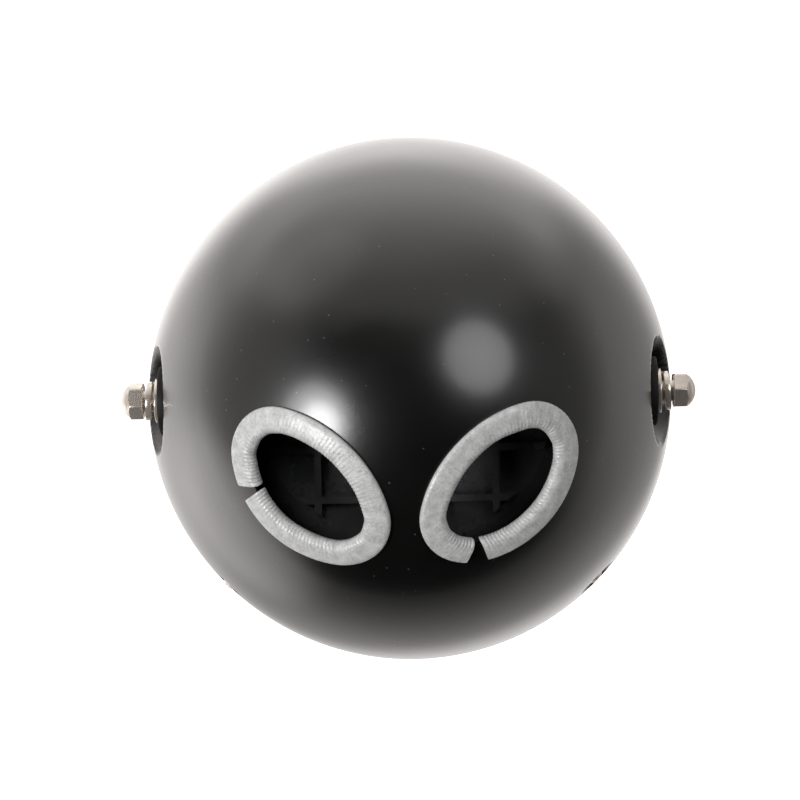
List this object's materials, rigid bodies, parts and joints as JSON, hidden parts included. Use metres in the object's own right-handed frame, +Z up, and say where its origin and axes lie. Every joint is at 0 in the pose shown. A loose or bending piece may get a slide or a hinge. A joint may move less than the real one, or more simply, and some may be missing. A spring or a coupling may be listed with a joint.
{
  "type": "motorcycle led headlight",
  "caption": "Round motorcycle headlight with a black steel bucket, oval cable holes with grey edging, side mount bolts and an LED lamp unit.",
  "frame": {"origin": "where the axis of the two side mount bolts crosses the beam axis", "axes": "+Y the way the beam leaves, +X along the mount axis to the right seen from behind, +Z up"},
  "size_m": [0.2094, 0.1477, 0.1972],
  "materials": {
    "black_paint": "satin",
    "ring_black": "gloss",
    "grey_edging": "ribbed vinyl",
    "black_rubber": "matte",
    "plated_steel": "bright nickel plate",
    "zinc_steel": "zinc plate",
    "black_steel": "black phosphate",
    "cast_black": "powder coated casting",
    "clear_lens": "clear polycarbonate",
    "projector_glass": "clear glass",
    "black_plastic": "satin moulding",
    "light_guide": "frosted",
    "reflector": "metallised",
    "board_white": "white solder mask",
    "board_green": "green solder mask",
    "led_yellow": "phosphor"
  },
  "bodies": {
    "root": {"bucket": "black_paint", "left_edge_trim": "grey_edging", "right_edge_trim": "grey_edging", "left_rubber_washer": "black_rubber", "right_rubber_washer": "black_rubber", "left_flat_washer": "plated_steel", "right_flat_washer": "plated_steel", "left_spring_washer": "plated_steel", "right_spring_washer": "plated_steel", "left_mount_bolt": "plated_steel", "right_mount_bolt": "plated_steel", "left_weld_nut": "zinc_steel", "right_weld_nut": "zinc_steel", "left_ring_screw": "plated_steel", "right_ring_screw": "plated_steel", "left_ring_bracket": "black_steel", "right_ring_bracket": "black_steel", "left_ring_nut": "zinc_steel", "right_ring_nut": "zinc_steel", "rim_seal": "black_rubber", "trim_ring": "ring_black", "top_hook": "black_steel", "retaining_ring": "black_steel", "retaining_screws": "zinc_steel", "lamp_housing": "cast_black", "lens": "clear_lens", "lens_gasket": "black_rubber", "inner_bezel": "black_plastic", "halo_light_guide": "light_guide", "projector_lens": "projector_glass", "projector_barrel": "zinc_steel", "low_beam_reflector": "reflector", "low_beam_board": "board_white", "left_high_beam_reflector": "reflector", "right_high_beam_reflector": "reflector", "high_beam_boards": "board_white", "led_chips": "led_yellow", "driver_board": "board_green", "driver_screws": "zinc_steel", "vent_plug": "black_plastic", "cable_gland": "black_rubber"}
  },
  "joints": []
}
